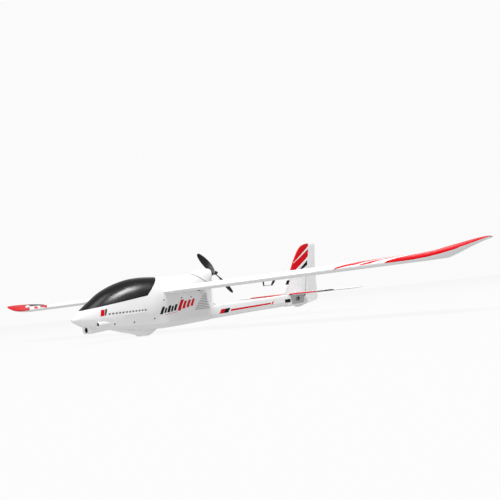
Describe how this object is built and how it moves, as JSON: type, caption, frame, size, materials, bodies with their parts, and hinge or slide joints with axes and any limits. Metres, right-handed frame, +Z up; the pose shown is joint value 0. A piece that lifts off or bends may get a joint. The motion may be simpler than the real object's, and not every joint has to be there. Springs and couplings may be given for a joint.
{
  "type": "model glider",
  "caption": "Radio-control foam motor glider with pusher propeller, dark canopy hatch, moving ailerons, elevator and rudder, upturned wing tips.",
  "frame": {"origin": "Halfway along the length, on the centre plane, level with the flat of the belly skid", "axes": "+X to port along the wing, +Y aft from nose to tail, +Z up"},
  "size_m": [2, 1.185, 0.273],
  "materials": {
    "white_shell": "moulded white plastic",
    "white_foam": "smooth moulded white foam",
    "smoked": "glossy smoked plastic",
    "black_plastic": "satin black nylon",
    "servo_case": "dark translucent plastic",
    "carbon": "wrapped carbon tube",
    "steel": "plain steel",
    "alloy": "machined alloy",
    "copper": "enamelled copper winding",
    "battery_wrap": "heat-shrink sleeve",
    "plywood": "light plywood",
    "lens_glass": "coated lens"
  },
  "bodies": {
    "airframe": {"aileron_servo_port": "servo_case", "aileron_servo_starboard": "servo_case", "battery": "battery_wrap", "camera_lens": "lens_glass", "elevator_servo": "servo_case", "equipment_tray": "plywood", "fin": "white_foam", "fpv_camera": "black_plastic", "fuselage": "white_shell", "motor_cowl": "white_shell", "motor_mount": "alloy", "motor_stator": "copper", "receiver": "black_plastic", "rudder_servo": "servo_case", "speed_controller": "black_plastic", "stabilizer": "white_foam", "tail_block": "white_foam", "tail_bolt_1": "steel", "tail_bolt_2": "steel", "tail_skid": "white_shell", "wing_joiner": "carbon", "wing_port": "white_foam", "wing_screw_port": "black_plastic", "wing_screw_starboard": "black_plastic", "wing_spar": "carbon", "wing_starboard": "white_foam"},
    "canopy": {"canopy": "smoked"},
    "rotor": {"motor_bell": "alloy", "motor_shaft": "steel", "prop_adapter": "alloy", "propeller": "black_plastic", "prop_washer": "steel", "prop_nut": "steel"},
    "aileron_port": {"aileron_port": "white_foam", "aileron_horn_port": "black_plastic"},
    "aileron_starboard": {"aileron_starboard": "white_foam", "aileron_horn_starboard": "black_plastic"},
    "aileron_arm_port": {"aileron_arm_port": "black_plastic"},
    "aileron_arm_starboard": {"aileron_arm_starboard": "black_plastic"},
    "aileron_rod_port": {"aileron_rod_port": "steel"},
    "aileron_rod_starboard": {"aileron_rod_starboard": "steel"},
    "elevator": {"elevator_port": "white_foam", "elevator_starboard": "white_foam", "elevator_joiner": "steel", "elevator_horn": "black_plastic"},
    "elevator_arm": {"elevator_arm": "black_plastic"},
    "elevator_rod": {"elevator_rod": "steel"},
    "rudder": {"rudder": "white_foam", "rudder_horn": "black_plastic"},
    "rudder_arm": {"rudder_arm": "black_plastic"},
    "rudder_rod": {"rudder_rod": "steel"}
  },
  "joints": [
    {"name": "aileron_port_hinge", "type": "hinge", "parent": "airframe", "child": "aileron_port", "pos_m": [0.545, -0.1266, 0.12873], "axis": [0.9999, 0.0142, -0.0004], "range_deg": [-20, 20]},
    {"name": "aileron_port_arm_turn", "type": "hinge", "parent": "airframe", "child": "aileron_arm_port", "pos_m": [0.3364, -0.1655, 0.12749], "axis": [1, 0, 0], "range_deg": [-23, 23]},
    {"name": "aileron_port_rod_slide", "type": "slide", "parent": "airframe", "child": "aileron_rod_port", "axis": [0, 1, 0], "range_m": [-0.00689, 0.00689]},
    {"name": "aileron_starboard_hinge", "type": "hinge", "parent": "airframe", "child": "aileron_starboard", "pos_m": [-0.545, -0.1266, 0.12873], "axis": [0.9999, -0.0142, 0.0004], "range_deg": [-20, 20]},
    {"name": "aileron_starboard_arm_turn", "type": "hinge", "parent": "airframe", "child": "aileron_arm_starboard", "pos_m": [-0.3364, -0.1655, 0.12749], "axis": [1, 0, 0], "range_deg": [-23, 23]},
    {"name": "aileron_starboard_rod_slide", "type": "slide", "parent": "airframe", "child": "aileron_rod_starboard", "axis": [0, 1, 0], "range_m": [-0.00689, 0.00689]},
    {"name": "elevator_hinge", "type": "hinge", "parent": "airframe", "child": "elevator", "pos_m": [0, 0.4625, 0.079], "axis": [1, 0, 0], "range_deg": [-20, 20]},
    {"name": "elevator_arm_turn", "type": "hinge", "parent": "airframe", "child": "elevator_arm", "pos_m": [0.0172, 0.4275, 0.0585], "axis": [1, 0, 0], "range_deg": [-25, 25]},
    {"name": "elevator_rod_slide", "type": "slide", "parent": "airframe", "child": "elevator_rod", "axis": [0, 1, 0], "range_m": [-0.00403, 0.00403]},
    {"name": "rudder_hinge", "type": "hinge", "parent": "airframe", "child": "rudder", "pos_m": [0, 0.52, 0.1565], "axis": [0, 0.2297, 0.9733], "range_deg": [-25, 25]},
    {"name": "rudder_arm_turn", "type": "hinge", "parent": "airframe", "child": "rudder_arm", "pos_m": [-0.0172, 0.3903, 0.063], "axis": [1, 0, 0], "range_deg": [-43, 43]},
    {"name": "rudder_rod_slide", "type": "slide", "parent": "airframe", "child": "rudder_rod", "axis": [0, 1, 0], "range_m": [-0.00912, 0.00912]},
    {"name": "propeller_spin", "type": "hinge", "parent": "airframe", "child": "rotor", "pos_m": [0, -0.0097, 0.178], "axis": [0, 1, 0], "continuous": true},
    {"name": "canopy_lift", "type": "hinge", "parent": "airframe", "child": "canopy", "pos_m": [0, -0.56472, 0.09352], "axis": [1, 0, 0], "range_deg": [0, 50]}
  ],
  "couplings": [
    {"joint": "aileron_port_arm_turn", "follows": "aileron_port_hinge", "ratio": 1.0753},
    {"joint": "aileron_port_rod_slide", "follows": "aileron_port_hinge", "m_per_rad": 0.01881},
    {"joint": "aileron_starboard_arm_turn", "follows": "aileron_starboard_hinge", "ratio": 1.0753},
    {"joint": "aileron_starboard_rod_slide", "follows": "aileron_starboard_hinge", "m_per_rad": 0.01881},
    {"joint": "elevator_arm_turn", "follows": "elevator_hinge", "ratio": -1.1579},
    {"joint": "elevator_rod_slide", "follows": "elevator_hinge", "m_per_rad": 0.011},
    {"joint": "rudder_arm_turn", "follows": "rudder_hinge", "ratio": -1.6583},
    {"joint": "rudder_rod_slide", "follows": "rudder_hinge", "m_per_rad": -0.0199}
  ]
}
